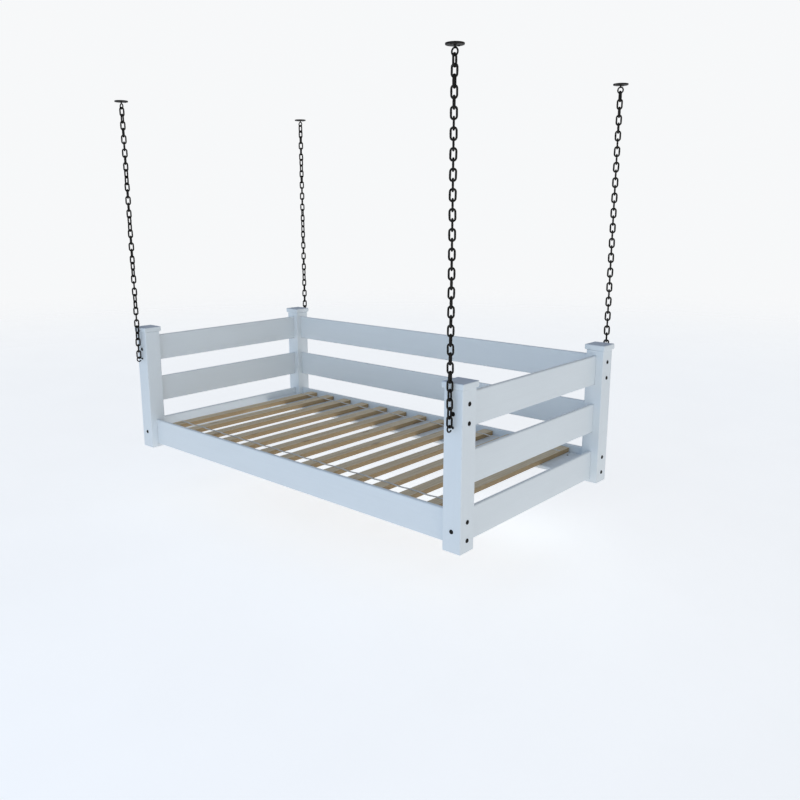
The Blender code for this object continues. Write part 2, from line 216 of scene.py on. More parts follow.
class DAYBED_PG_ironwork(PropertyGroup):
    """Sizes and colours of the chains, eyes, plates and bolts"""
    link_wire: FloatProperty(
        name="Link wire", description="Diameter of the chain's wire", default=0.0080, unit="LENGTH")
    eye_wire: FloatProperty(
        name="Eye wire", description="Diameter of a screw eye's wire", default=0.0066, unit="LENGTH")
    bolt_head: FloatProperty(
        name="Bolt head", description="Diameter of a bolt's head", default=0.0180, unit="LENGTH")
    bolt_rise: FloatProperty(
        name="Bolt rise", description="How far a head stands off the post", default=0.0028, unit="LENGTH")
    bolt_spread: FloatProperty(
        name="Bolt spread", description="From a rail's centre line to each bolt of a pair",
        default=0.0385, unit="LENGTH")
    socket: FloatProperty(
        name="Hex socket", description="Across the flats of a bolt's socket", default=0.0060, unit="LENGTH")
    weld: FloatProperty(
        name="Weld swell", description="Extra wire radius at a link's weld", default=0.13, subtype="FACTOR")
    steel: FloatVectorProperty(
        name="Steel", description="Dark oiled finish", subtype="COLOR", default=(0.016, 0.013, 0.010),
        min=0, max=1)
    worn_steel: FloatVectorProperty(
        name="Worn steel", description="Bright metal where links rub", subtype="COLOR",
        default=(0.22, 0.20, 0.17), min=0, max=1)


class DAYBED_PG_stage(PropertyGroup):
    """Floor, light and camera"""
    floor_drop: FloatProperty(
        name="Floor drop", description="From the post feet down to the floor", default=0.30, unit="LENGTH")
    floor: FloatVectorProperty(
        name="Floor", description="Pale floor", subtype="COLOR", default=(0.86, 0.865, 0.87), min=0, max=1)
    floor_glow: FloatProperty(
        name="Floor glow", description="Light the floor gives off, to keep it pale", default=0.62)
    horizon_front: FloatVectorProperty(
        name="Horizon, front", description="Sky colour low down, before the open side", subtype="COLOR",
        default=(0.44, 0.59, 0.77), min=0, max=1.5)
    horizon_side: FloatVectorProperty(
        name="Horizon, side", description="Sky colour low down, off the right end", subtype="COLOR",
        default=(0.99, 1.04, 1.04), min=0, max=1.5)
    horizon_back: FloatVectorProperty(
        name="Horizon, back", description="Light low down behind the back, as off a house wall",
        subtype="COLOR", default=(0.54, 0.56, 0.58), min=0, max=1)
    backdrop: FloatVectorProperty(
        name="Backdrop", description="What the camera sees behind the daybed", subtype="COLOR",
        default=(0.93, 0.94, 0.95), min=0, max=1)
    zenith: FloatVectorProperty(
        name="Overhead", description="Sky colour overhead, as under a porch roof", subtype="COLOR",
        default=(0.28, 0.29, 0.32), min=0, max=1)
    lamp_place: FloatVectorProperty(
        name="Lamp", description="Where the front lamp hangs", subtype="TRANSLATION",
        default=(1.1, -3.9, 1.5))
    lamp_target: FloatVectorProperty(
        name="Lamp target", description="What the front lamp points at", subtype="TRANSLATION",
        default=(0, -0.6, 0.35))
    lamp_size: FloatProperty(
        name="Lamp size", description="Diameter of the front lamp", default=2.4, unit="LENGTH")
    lamp_power: FloatProperty(
        name="Lamp power", description="Strength of the front lamp in watts", default=10)
    lamp_colour: FloatVectorProperty(
        name="Lamp colour", description="Blue of the open sky", subtype="COLOR",
        default=(0.10, 0.45, 1.0), min=0, max=1)
    lens: FloatProperty(
        name="Lens", description="Focal length in millimetres", default=35.75, subtype="DISTANCE_CAMERA")
    camera_place: FloatVectorProperty(
        name="Camera", description="Where the camera stands", subtype="TRANSLATION",
        default=(2.8476, -2.9357, 1.3245))
    camera_turn: FloatProperty(
        name="Camera turn", description="Left of the +Y direction", default=math.radians(42.03),
        subtype="ANGLE")
    camera_dip: FloatProperty(
        name="Camera dip", description="Below the horizon", default=math.radians(12.27), subtype="ANGLE")
    camera_roll: FloatProperty(
        name="Camera roll", description="Tilt about the line of sight", default=math.radians(-0.17),
        subtype="ANGLE")
    shift: FloatVectorProperty(
        name="Lens shift", description="Sideways and upward, in frame widths", size=2,
        default=(0.0176, -0.0228))


def boards():
    return bpy.context.scene.daybed_boards


def ironwork():
    return bpy.context.scene.daybed_ironwork


# ---- Shader maths --------------------
class Signal:
    """A shader socket that takes part in arithmetic; every operator adds one Math node."""

    def __init__(self, tree, socket):
        self.tree = tree
        self.socket = socket

    def maths(self, operation, *values):
        return self.tree.add("ShaderNodeMath", {"operation": operation}, dict(enumerate(values)))

    def __add__(self, other):
        return self.maths("ADD", self, other)

    def __radd__(self, other):
        return self.maths("ADD", other, self)

    def __sub__(self, other):
        return self.maths("SUBTRACT", self, other)

    def __rsub__(self, other):
        return self.maths("SUBTRACT", other, self)

    def __mul__(self, other):
        return self.maths("MULTIPLY", self, other)

    def __rmul__(self, other):
        return self.maths("MULTIPLY", other, self)

    def __pow__(self, other):
        return self.maths("POWER", self, other)

    def least(self, other):
        return self.maths("MINIMUM", self, other)

    def most(self, other):
        return self.maths("MAXIMUM", self, other)

    def sine(self):
        return self.maths("SINE", self)

    def ramp(self, low, high):
        """0 below low and 1 above high, smooth between. low may be the larger."""
        return self.tree.add(
            "ShaderNodeMapRange", {"interpolation_type": "SMOOTHSTEP"},
            {"Value": self, "From Min": low, "From Max": high})


class ShaderTree:
    """A node tree being written. add() makes any node; the rest are short forms of it."""

    def __init__(self, tree):
        self.tree = tree

    def add(self, kind, settings=None, inputs=None, output=0):
        node = self.tree.nodes.new(kind)
        for name, value in (settings or {}).items():
            setattr(node, name, value)
        for key, value in (inputs or {}).items():
            self.feed(node.inputs[key], value)
        return Signal(self, node.outputs[output])

    def feed(self, socket, value):
        if isinstance(value, Signal):
            self.tree.links.new(value.socket, socket)
        elif hasattr(value, "__len__") and socket.type == "RGBA":
            socket.default_value = (*value, 1.0)
        else:
            socket.default_value = value

    def stretch(self, vector, scale):
        return self.add("ShaderNodeVectorMath", {"operation": "MULTIPLY"}, {0: vector, 1: scale})

    def parts(self, vector):
        node = self.add("ShaderNodeSeparateXYZ", {}, {0: vector}).socket.node
        return [Signal(self, socket) for socket in node.outputs]

    def noise(self, vector, scale=1.0, detail=4.0, distortion=0.0):
        return self.add("ShaderNodeTexNoise", {}, {
            "Vector": vector, "Scale": scale, "Detail": detail, "Roughness": NOISE_ROUGHNESS,
            "Distortion": distortion})

    def blend(self, factor, first, second):
        return self.add("ShaderNodeMix", {"data_type": "RGBA"}, {0: factor, 6: first, 7: second}, output=2)

    def bump(self, height, distance, strength=1.0, under=None):
        inputs = {"Height": height, "Distance": distance, "Strength": strength}
        if under:
            inputs["Normal"] = under
        return self.add("ShaderNodeBump", {}, inputs)


class Finish(ShaderTree):
    """One material being written."""

    def __init__(self, name):
        self.material = bpy.data.materials.new(name)
        self.material.use_nodes = True
        super().__init__(self.material.node_tree)
        self.surface = self.tree.nodes["Principled BSDF"]

    def shine(self, **inputs):
        """Set or link the surface shader's sockets, named with underscores for spaces."""
        for key, value in inputs.items():
            self.feed(self.surface.inputs[key.replace("_", " ")], value)

    def attribute(self, name, output="Vector"):
        return self.add("ShaderNodeAttribute", {"attribute_name": name}, output=output)

    def upward(self):
        """1 on faces that look up, 0 on upright ones."""
        normal = self.add("ShaderNodeNewGeometry", output="Normal")
        return self.parts(normal)[2].ramp(0.45, 0.9)


def edge_distance(finish, place, half):
    """Distance from a face of a board to its nearest edge: the middle one of its three insets."""
    inset = finish.add("ShaderNodeVectorMath", {"operation": "ABSOLUTE"}, {0: place})
    inset = finish.add("ShaderNodeVectorMath", {"operation": "SUBTRACT"}, {0: half, 1: inset})
    x, y, z = finish.parts(inset)
    return x.least(y).most(x.most(y).least(z))


def shade(colour, share):
    return tuple(share * channel for channel in colour)


def board_coordinates(finish):
    """A point's place in its board, the board's half size, and the place in the board's own grain."""
    place = finish.attribute("board_place")
    half = finish.attribute("board_half")
    own = finish.attribute("board_own")
    return place, half, finish.add("ShaderNodeVectorMath", {"operation": "ADD"}, {0: place, 1: own})


def paint_finish(name="satin_white_paint", top_shade_share=0.06):
    """Satin exterior paint, brushed along the grain, the grain just telling through, with painted shade on
    its tops.
    """
    finish = Finish(name)
    place, half, here = board_coordinates(finish)
    grain = finish.noise(finish.stretch(here, PAINT_GRAIN), detail=5, distortion=0.6)
    strokes = finish.noise(finish.stretch(here, BRUSH_STROKES), detail=2)
    clouds = finish.noise(finish.stretch(here, PAINT_CLOUDS), detail=3)
    specks = finish.noise(here, scale=330, detail=2)
    edge = edge_distance(finish, place, half)
    rubbed = (edge.ramp(0.0042, 0.0004) * finish.noise(here, scale=34, detail=4).ramp(0.50, 0.74)) * 0.45
    # Painted shade: upward faces are blended toward the blue-grey top colour, as tops fall darker in this
    # light; the same mask also roughens them.
    top_shade = finish.upward() * (clouds * 0.5 + 0.75) * top_shade_share
    paint = finish.blend(clouds.ramp(0.3, 0.7) * 0.5, boards().paint, shade(boards().paint, 0.94))
    paint = finish.blend(grain.ramp(0.46, 0.70) * 0.09, paint, shade(boards().paint, 0.86))
    paint = finish.blend(rubbed, paint, boards().primer)
    paint = finish.blend(top_shade, paint, boards().top_shade)
    paint = finish.blend(specks.ramp(0.70, 0.76) * 0.25, paint, PAINT_SPECK)
    relief = finish.bump(grain, 0.00020, 0.35)
    relief = finish.bump(strokes, 0.00010, 0.6, relief)
    finish.shine(
        Base_Color=paint, Roughness=0.36 + strokes * 0.10 + top_shade * 0.5 + rubbed * 0.3, Normal=relief,
        Coat_Weight=0.06, Coat_Roughness=0.25, Specular_IOR_Level=0.42)
    return finish.material


def cap_finish():
    """The same paint with much stronger painted shade on the caps' open tops."""
    return paint_finish("dusty_cap_paint", 0.5)


def slat_finish():
    """Bare softwood: growth rings, fibres and knots, its upper face paler, partly greyed by weathering and
    partly painted light on the tops.
    """
    finish = Finish("bare_slat_wood")
    place, half, here = board_coordinates(finish)
    drift = finish.noise(finish.stretch(here, SLAT_DRIFT), detail=2)
    along, across, through = finish.parts(here)
    wander = (drift - 0.5) * 0.035
    bent = finish.add("ShaderNodeCombineXYZ", {}, {0: along * 0.05, 1: across + wander, 2: through + wander})
    rings = finish.add(
        "ShaderNodeTexWave",
        {"wave_type": "RINGS", "rings_direction": "X", "wave_profile": "SAW"},
        {"Vector": bent, "Scale": 42.0, "Distortion": 1.6, "Detail": 2.0, "Detail Scale": 0.8}, output="Fac")
    fibres = finish.noise(finish.stretch(here, SLAT_FIBRES), detail=3)
    patches = finish.noise(finish.stretch(here, SLAT_PATCHES), detail=4)
    knots = finish.add("ShaderNodeTexVoronoi", {}, {
        "Vector": finish.stretch(here, SLAT_KNOTS), "Scale": 1.0, "Randomness": 1.0},
        output="Distance").ramp(0.17, 0.06)
    wood = finish.blend(rings.ramp(0.35, 0.95) * 0.42, boards().slat_wood, RING_BROWN)
    wood = finish.blend(fibres.ramp(0.40, 0.72) * 0.32, wood, FIBRE_BROWN)
    wood = finish.blend(patches.ramp(0.45, 0.75) * 0.30, wood, PALE_PATCH)
    # Weathering and painted light: upward faces blend toward the paler top tone, partly weathering and
    # partly painted light on the tops.
    weathered_lit_top = finish.upward() * (0.62 + patches * 0.35)
    wood = finish.blend(weathered_lit_top, wood, boards().slat_weathered_lit_top)
    streaks = finish.noise(finish.stretch(here, SLAT_STREAKS), detail=3)
    wood = finish.blend(streaks.ramp(0.47, 0.66) * 0.38, wood, WEATHERED_STREAK)
    wood = finish.blend(rings.ramp(0.55, 0.98) * 0.22, wood, WEATHERED_RING)
    wood = finish.blend(fibres.ramp(0.52, 0.78) * 0.30, wood, WEATHERED_FIBRE)
    wood = finish.blend(knots * 0.45, wood, KNOT_BROWN)
    edge = edge_distance(finish, place, half)
    wood = finish.blend(edge.ramp(0.003, 0.0) * 0.25, wood, RUBBED_EDGE)
    relief = finish.bump(fibres, 0.00035, 0.6)
    relief = finish.bump(rings, 0.00025, 0.5, relief)
    finish.shine(Base_Color=wood, Roughness=0.62 + fibres * 0.22, Normal=relief, Specular_IOR_Level=0.32)
    return finish.material


def tape_finish():
    """Plain-weave tape."""
    finish = Finish("woven_tape")
    place = finish.attribute("board_place")
    along, across, _ = finish.parts(place)
    turns = math.tau / TAPE_THREAD
    weave = (across * turns).sine() * (along * turns).sine() * 0.5 + 0.5
    soil = finish.noise(place, scale=21, detail=4).ramp(0.42, 0.75)
    cloth = finish.blend(weave * 0.30, boards().tape, shade(boards().tape, 0.72))
    cloth = finish.blend(soil * 0.35, cloth, TAPE_SOIL)
    finish.shine(Base_Color=cloth, Roughness=0.92, Normal=finish.bump(weave, 0.0002, 0.8),
                 Specular_IOR_Level=0.2)
    return finish.material


def iron_finish():
    """Oiled dark steel, rubbed bright where links bear on each other, with a few brown specks."""
    finish = Finish("dark_oiled_steel")
    place = finish.add("ShaderNodeTexCoord", output="Object")
    mottle = finish.noise(place, scale=95, detail=4)
    grit = finish.noise(place, scale=900, detail=2)
    rust = finish.noise(place, scale=150, detail=5).ramp(0.61, 0.72)
    rub = finish.attribute("rubbed", "Fac")
    bright = (rub * finish.noise(place, scale=260, detail=3).ramp(0.34, 0.62)) * 0.85
    metal = finish.blend(mottle.ramp(0.35, 0.7), ironwork().steel, shade(ironwork().steel, 0.45))
    metal = finish.blend(rust * 0.55, metal, RUST)
    metal = finish.blend(bright, metal, ironwork().worn_steel)
    finish.shine(
        Base_Color=metal, Metallic=0.70 - rust * 0.5,
        Roughness=0.42 + mottle * 0.22 + rust * 0.25 - bright * 0.2, Normal=finish.bump(grit, 0.00012, 0.5))
    return finish.material


def staple_finish():
    """Zinc-plated wire, dulled in places."""
    finish = Finish("zinc_staple_wire")
    place = finish.add("ShaderNodeTexCoord", output="Object")
    bloom = finish.noise(place, scale=420, detail=3)
    zinc = finish.blend(bloom.ramp(0.4, 0.7), BRIGHT_ZINC, DULL_ZINC)
    finish.shine(Base_Color=zinc, Metallic=0.9, Roughness=0.32 + bloom * 0.25)
    return finish.material


def finish_named(name):
    """Each finish is written once and shared."""
    makers = {
        "satin_white_paint": paint_finish, "dusty_cap_paint": cap_finish, "bare_slat_wood": slat_finish,
        "woven_tape": tape_finish, "dark_oiled_steel": iron_finish, "zinc_staple_wire": staple_finish,
    }
    return bpy.data.materials.get(name) or makers[name]()


# ---- Pieces --------------------
def new_piece(name, mesh, finish, body, nodes=()):
    """Put a finished mesh into the scene on its body, standing for the named CAD nodes."""
    piece = bpy.data.objects.new(name, mesh)
    bpy.context.scene.collection.objects.link(piece)
    mesh.materials.append(finish_named(finish))
    mesh.shade_smooth()
    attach(piece, body)
    if nodes:
        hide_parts(*nodes)
    return piece


def to_mesh(shape, name):
    bmesh.ops.recalc_face_normals(shape, faces=shape.faces)
    mesh = bpy.data.meshes.new(name)
    shape.to_mesh(mesh)
    shape.free()
    return mesh


def board_shape(low, high, radius, rounds=4):
    """A box between two corners, its edges rounded over."""
    shape = bmesh.new()
    bmesh.ops.create_cube(shape, size=1.0)
    bmesh.ops.scale(shape, vec=high - low, verts=shape.verts)
    bmesh.ops.translate(shape, vec=(low + high) / 2, verts=shape.verts)
    bmesh.ops.bevel(shape, geom=shape.edges[:], offset=radius, segments=rounds, profile=0.5,
                    affect="EDGES", clamp_overlap=True)
    return shape


def note_board(mesh, low, high, seed):
    """Store where each point lies in its own board, long axis first, for the grain to follow."""
    size = high - low
    axes = sorted(range(3), key=lambda axis: -size[axis])
    centre = (low + high) / 2
    draw = random.Random(seed)
    own = Vector([draw.uniform(-reach, reach) for reach in GRAIN_SHIFT])
    place = mesh.attributes.new("board_place", "FLOAT_VECTOR", "POINT")
    half = mesh.attributes.new("board_half", "FLOAT_VECTOR", "POINT")
    offset = mesh.attributes.new("board_own", "FLOAT_VECTOR", "POINT")
    for vertex, a, b, c in zip(mesh.vertices, place.data, half.data, offset.data):
        a.vector = [(vertex.co - centre)[axis] for axis in axes]
        b.vector = [size[axis] / 2 for axis in axes]
        c.vector = own


def flat_normals(piece):
    """Keep the wide faces flat and let only the rounded edges shade round."""
    modifier = piece.modifiers.new("flat_faces", "WEIGHTED_NORMAL")
    modifier.weight = 100
    modifier.keep_sharp = True


def board_piece(node, word, radius, finish="satin_white_paint", cutters=()):
    """A rounded board in the place of a CAD node, less the volume of any cutters."""
    low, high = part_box(node)
    mesh = to_mesh(board_shape(low, high, radius), f"{node}_{word}")
    for cutter in cutters:
        mesh = carved(mesh, cutter)
    note_board(mesh, low, high, f"{node}0")
    piece = new_piece(f"{node}_{word}", mesh, finish, "bed", [node])
    flat_normals(piece)
    return piece


def carved(mesh, cutter):
    """The mesh less one closed bmesh volume."""
    holder = bpy.data.objects.new("carving", mesh)
    tool = bpy.data.objects.new("carver", to_mesh(cutter, "carver"))
    for each in (holder, tool):
        bpy.context.scene.collection.objects.link(each)
    boolean = holder.modifiers.new("carve", "BOOLEAN")
    boolean.object = tool
    boolean.operation = "DIFFERENCE"
    boolean.solver = "EXACT"
    graph = bpy.context.evaluated_depsgraph_get()
    result = bpy.data.meshes.new_from_object(holder.evaluated_get(graph))
    result.name = mesh.name
    for each in (holder, tool):
        bpy.data.objects.remove(each, do_unlink=True)
    return result


def room_for(node):
    """The space to cut for a board that is let into another one."""
    low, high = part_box(node)
    spare = Vector((LET_IN, LET_IN, LET_IN))
    return board_shape(low - spare, high + spare, CUTTER_EDGE, 1)


def lathe(shape, rings, axis_matrix, sides=32):
    """Rings of (radius, height, flat sides) joined into a closed turned form; 0 flat sides is round."""
    loops = []
    for radius, height, corners in rings:
        loop = []
        for step in range(sides):
            angle = math.tau * step / sides
            reach = radius
            if corners:
                slice_angle = math.tau / corners
                reach = radius / math.cos((angle % slice_angle) - slice_angle / 2)
            spot = Vector((reach * math.cos(angle), reach * math.sin(angle), height))
            loop.append(shape.verts.new(axis_matrix @ spot))
        loops.append(loop)
    for lower, upper in zip(loops, loops[1:]):
        for step in range(sides):
            after = (step + 1) % sides
            shape.faces.new((lower[step], lower[after], upper[after], upper[step]))
    shape.faces.new(loops[0][::-1])
    shape.faces.new(loops[-1])


def facing(direction, place):
    """A matrix that stands a turned form at a place, its +Z along a direction."""
    turn = Vector(direction).to_track_quat("Z", "Y").to_matrix().to_4x4()
    return Matrix.Translation(place) @ turn


def tube(shape, points, radii, closed, sides, rub=None, layer=None):
    """Sweep a round section along points lying in one plane, with its own radius at each."""
    count = len(points)
    flat = (points[1] - points[0]).cross(points[count // 3] - points[0])
    if flat.length < STRAIGHT:
        flat = (points[count // 2] - points[0]).cross(points[-1] - points[0])
    side = flat.normalized()
    loops = []
    for index, (point, radius) in enumerate(zip(points, radii)):
        if closed:
            before, after = points[index - 1], points[(index + 1) % count]
        else:
            before, after = points[max(index - 1, 0)], points[min(index + 1, count - 1)]
        out = (after - before).normalized().cross(side)
        loop = []
        for step in range(sides):
            angle = math.tau * step / sides
            vertex = shape.verts.new(point + radius * (math.cos(angle) * out + math.sin(angle) * side))
            if layer is not None:
                vertex[layer] = rub(point, -math.cos(angle))
            loop.append(vertex)
        loops.append(loop)
    pairs = list(zip(loops, loops[1:]))
    if closed:
        pairs.append((loops[-1], loops[0]))
    for lower, upper in pairs:
        for step in range(sides):
            after = (step + 1) % sides
            shape.faces.new((lower[step], lower[after], upper[after], upper[step]))
    if not closed:
        shape.faces.new(loops[0][::-1])
        shape.faces.new(loops[-1])


def smooth_path(points, steps):
    """A smooth curve through given points."""
    path = []
    for index in range(len(points) - 1):
        a = points[max(index - 1, 0)]
        b, c = points[index], points[index + 1]
        d = points[min(index + 2, len(points) - 1)]
        for step in range(steps):
            t = step / steps
            path.append(0.5 * (2 * b + (c - a) * t + (2 * a - 5 * b + 4 * c - d) * t ** 2
                               + (3 * b - a - 3 * c + d) * t ** 3))
    path.append(points[-1])
    return path


# ---- Painted timber --------------------
class DAYBED_OT_posts(Operator):
    """Four posts, housed for the rails and counterbored for the bolts"""
    bl_idname = "daybed.posts"
    bl_label = "Posts"

    def execute(self, context):
        for corner, (sx, sy) in CORNERS.items():
            node = f"post_{corner}"
            rails = [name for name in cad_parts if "rail" in name]
            cutters = [room_for(rail) for rail in rails if overlap(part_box(rail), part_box(node))]
            for place, direction in bolt_places(corner, sx, sy):
                bore = bmesh.new()
                lathe(bore, [(BORE_RADIUS, -BORE_DEPTH, 0), (BORE_RADIUS, BORE_LIP, 0)],
                      facing(direction, place))
                cutters.append(bore)
            board_piece(node, "painted", boards().post_edge, cutters=cutters)
        return {"FINISHED"}


def overlap(first, second):
    """True if two boxes share some volume."""
    return all(first[0][axis] < second[1][axis] - TOUCHING and second[0][axis] < first[1][axis] - TOUCHING
               for axis in range(3))


def bolt_places(corner, sx, sy):
    """Where each bolt enters a post, and which way its head faces."""
    low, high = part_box(f"post_{corner}")
    centre = (low + high) / 2
    end_face = high.x if sx > 0 else low.x
    side_face = high.y if sy > 0 else low.y
    end = "right" if sx > 0 else "left"
    places = []
    for level in ("bottom", "top"):
        height = middle(f"end_rail_{end}_{level}").z
        for lift in (-1, 1):
            places.append((Vector((end_face, centre.y, height + lift * ironwork().bolt_spread)), (sx, 0, 0)))
        places.append((Vector((centre.x, side_face, height)), (0, sy, 0)))
    return places


class DAYBED_OT_caps(Operator):
    """Four square caps on the posts"""
    bl_idname = "daybed.caps"
    bl_label = "Post caps"

    def execute(self, context):
        for corner in CORNERS:
            # The caps' tops carry the stronger painted shade.
            board_piece(f"cap_{corner}", "painted", boards().cap_edge, "dusty_cap_paint")
        return {"FINISHED"}


class DAYBED_OT_rails(Operator):
    """Rails of both ends, the back and the front"""
    bl_idname = "daybed.rails"
    bl_label = "Rails"

    def execute(self, context):
        names = [f"end_rail_{end}_{level}" for end in ENDS for level in LEVELS]
        names += [f"back_rail_{level}" for level in LEVELS]
        for name in [*names, "front_rail"]:
            board_piece(name, "painted", boards().board_edge)
        return {"FINISHED"}


class DAYBED_OT_cleats(Operator):
    """Cleats under the deck"""
    bl_idname = "daybed.cleats"
    bl_label = "Cleats"

    def execute(self, context):
        for name in ("front_cleat", "back_cleat", "end_cleat_left", "end_cleat_right"):
            board_piece(name, "painted", boards().board_edge)
        return {"FINISHED"}


class DAYBED_OT_deck_board(Operator):
    """The wide board under the slats' back ends, notched round the posts, with its screws"""
    bl_idname = "daybed.deck_board"
    bl_label = "Deck board"

    def execute(self, context):
        cutters = [room_for(f"post_back_{end}") for end in ENDS]
        board_piece("deck_board", "painted", boards().board_edge, cutters=cutters)
        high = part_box("deck_board")[1]
        inset_x, inset_y = BOARD_SCREW_INSET
        for end, sign in ENDS.items():
            head = bmesh.new()
            place = Vector((sign * (high.x - inset_x), high.y - inset_y, high.z))
            lathe(head, BOARD_SCREW, Matrix.Translation(place), sides=24)
            mesh = to_mesh(head, f"board_screw_{end}")
            new_piece(f"board_screw_{end}", mesh, "dark_oiled_steel", "bed")
        return {"FINISHED"}


class DAYBED_OT_slats(Operator):
    """Thirteen bare slats"""
    bl_idname = "daybed.slats"
    bl_label = "Slats"

    def execute(self, context):
        for name in SLATS:
            board_piece(name, "wood", boards().slat_edge, "bare_slat_wood")
        return {"FINISHED"}


class DAYBED_OT_tapes(Operator):
    """Two tapes that hold the slats at an even spacing, and their staples"""
    bl_idname = "daybed.tapes"
    bl_label = "Tapes"

    def execute(self, context):
        for name in TAPES:
            low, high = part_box(name)
            shape = bmesh.new()
            slats = sorted((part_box(slat) for slat in SLATS), key=lambda box: box[0].x)
            centres = []
            for box, following in zip(slats, slats[1:] + [None]):
                centres.append((max(low.x, box[0].x + TAPE_HOLD), 0.0))
                centres.append((min(high.x, box[1].x - TAPE_HOLD), 0.0))
                if following:
                    gap = following[0].x - box[1].x
                    for share in SAG_STOPS:
                        sag = TAPE_SAG * 4 * share * (1 - share)
                        centres.append((box[1].x + share * gap, sag))
            rows = []
            for x, sag in centres:
                corners = [(low.y, low.z), (high.y, low.z), (high.y, high.z), (low.y, high.z)]
                rows.append([shape.verts.new((x, y, z - sag)) for y, z in corners])
            for row, nxt in zip(rows, rows[1:]):
                for k in range(4):
                    shape.faces.new((row[k], row[(k + 1) % 4], nxt[(k + 1) % 4], nxt[k]))
            shape.faces.new(rows[0][::-1])
            shape.faces.new(rows[-1])
            mesh = to_mesh(shape, f"{name}_woven")
            note_board(mesh, low, high, name)
            piece = new_piece(f"{name}_woven", mesh, "woven_tape", "bed", [name])
            flat_normals(piece)
            self.staples(name, low, high, slats)
        return {"FINISHED"}

    def staples(self, name, low, high, slats):
        """Two staple crowns across the tape on every slat."""
        shape = bmesh.new()
        for box_low, box_high in slats:
            centre = (box_low.x + box_high.x) / 2
            for side in STAPLE_PLACES:
                left, right = centre + side - STAPLE_WIDTH / 2, centre + side + STAPLE_WIDTH / 2
                start = Vector((left, low.y + STAPLE_INSET, high.z))
                stop = Vector((right, high.y - STAPLE_INSET, high.z + STAPLE_RISE))
                crown = board_shape(start, stop, STAPLE_EDGE, 2)
                scrap = bpy.data.meshes.new("crown")
                crown.to_mesh(scrap)
                crown.free()
                shape.from_mesh(scrap)
                bpy.data.meshes.remove(scrap)
        new_piece(f"{name}_staples", to_mesh(shape, f"{name}_staples"), "zinc_staple_wire", "bed")


# ---- Ironwork --------------------
class DAYBED_OT_bolts(Operator):
    """Twenty-four bolt heads with hex sockets"""
    bl_idname = "daybed.bolts"
    bl_label = "Bolts"

    def execute(self, context):
        radius = ironwork().bolt_head / 2
        rise = ironwork().bolt_rise
        flat = ironwork().socket / 2
        profile = [
            (radius * 0.96, -BOLT_SEAT, 0), (radius, -BOLT_SEAT_EDGE, 0),
            *((radius * out, rise * up, 0) for out, up in BOLT_DOME),
            (flat * SOCKET_LEAD, rise, 6), (flat, rise - SOCKET_CHAMFER, 6), (flat, rise - SOCKET_DEPTH, 6),
        ]
        for corner, (sx, sy) in CORNERS.items():
            for number, (place, direction) in enumerate(bolt_places(corner, sx, sy)):
                shape = bmesh.new()
                turn = Matrix.Rotation(random.Random(f"{corner}{number}").uniform(0, 1), 4, "Z")
                lathe(shape, profile, facing(direction, place) @ turn, sides=36)
                mesh = to_mesh(shape, f"bolt_{corner}_{number + 1}")
                new_piece(mesh.name, mesh, "dark_oiled_steel", "bed")
                mesh.set_sharp_from_angle(angle=math.radians(BOLT_CREASE))
        return {"FINISHED"}


class DAYBED_OT_screw_eyes(Operator):
    """Four bent-wire screw eyes that the chains hook into"""
    bl_idname = "daybed.screw_eyes"
    bl_label = "Screw eyes"

    def execute(self, context):
        wire = ironwork().eye_wire / 2
        for corner, (_, sy) in CORNERS.items():
            node = f"screw_eye_{corner}"
            low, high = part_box(node)
            post_low, post_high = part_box(f"post_{corner}")
            face = post_high.y if sy > 0 else post_low.y
            outer = (high.z - low.z) / 2
            ring = outer - wire
            tip = high.y if sy > 0 else low.y
            centre = Vector(((low.x + high.x) / 2, tip - sy * outer, (low.z + high.z) / 2))
            start = abs(centre.y - face)

            def spot(out, up):
                return centre + Vector((0, sy * (out - start), up))

            guide = [spot(out, up) for out, up in EYE_SHANK]
            for step in range(EYE_STEPS + 1):
                angle = math.radians(EYE_START - EYE_SWEEP * step / EYE_STEPS)
                guide.append(spot(start + ring * math.cos(angle), ring * math.sin(angle)))
            path = smooth_path(guide, 3)
            shape = bmesh.new()
            radii = [wire] * len(path)
            radii[-2:] = [wire * share for share in EYE_TIP]
            tube(shape, path, radii, False, WIRE_SIDES)
            collar = [(wire * out, height, 0) for out, height in COLLAR]
            lathe(shape, collar, facing((0, sy, 0), Vector((centre.x, face, centre.z))), sides=24)
            mesh = to_mesh(shape, f"{node}_wire")
            new_piece(mesh.name, mesh, "dark_oiled_steel", "bed", [node])
        return {"FINISHED"}


def link_path(half_length, half_width, arc=9, straight=7):
    """Centre line of a link in the XZ plane: two straight sides and two half circles."""
    shoulder = half_length - half_width
    path = [Vector((half_width, 0, shoulder * (2 * k / straight - 1))) for k in range(straight)]
    for k in range(arc):
        angle = math.pi * k / arc
        path.append(Vector((half_width * math.cos(angle), 0, shoulder + half_width * math.sin(angle))))
    return path + [-point for point in path]


def add_link(shape, layer, place, half_length, half_width, wire, draw):
    """One welded link, stood at a place; its weld swells the middle of one side."""
    path = link_path(half_length, half_width)
    weld_side = 1 if draw.random() < 0.5 else -1
    shoulder = half_length - half_width
    radii = []
    for point in path:
        on_side = point.x * weld_side > half_width * WELD_BAND
        near = math.exp(-(point.z / WELD_LENGTH) ** 2) if on_side else 0
        radii.append(wire * (1 + ironwork().weld * near))

    def rub(point, inward):
        at_end = min(max((abs(point.z) - shoulder) / half_width, 0), 1)
        return max(inward, 0) * at_end

    start = len(shape.verts)
    tube(shape, path, radii, True, LINK_SIDES, rub, layer)
    shape.verts.ensure_lookup_table()
    bmesh.ops.transform(shape, matrix=place, verts=shape.verts[start:])


def chain_angle(corner, index):
    """How far a link is turned about the chain's line, on top of its quarter turn."""
    stops = CHAIN_TWIST[corner]
    for (first, low), (last, high) in zip(stops, stops[1:]):
        if index <= last:
            return math.radians(low + (high - low) * (index - first) / (last - first))
    return math.radians(stops[-1][1])


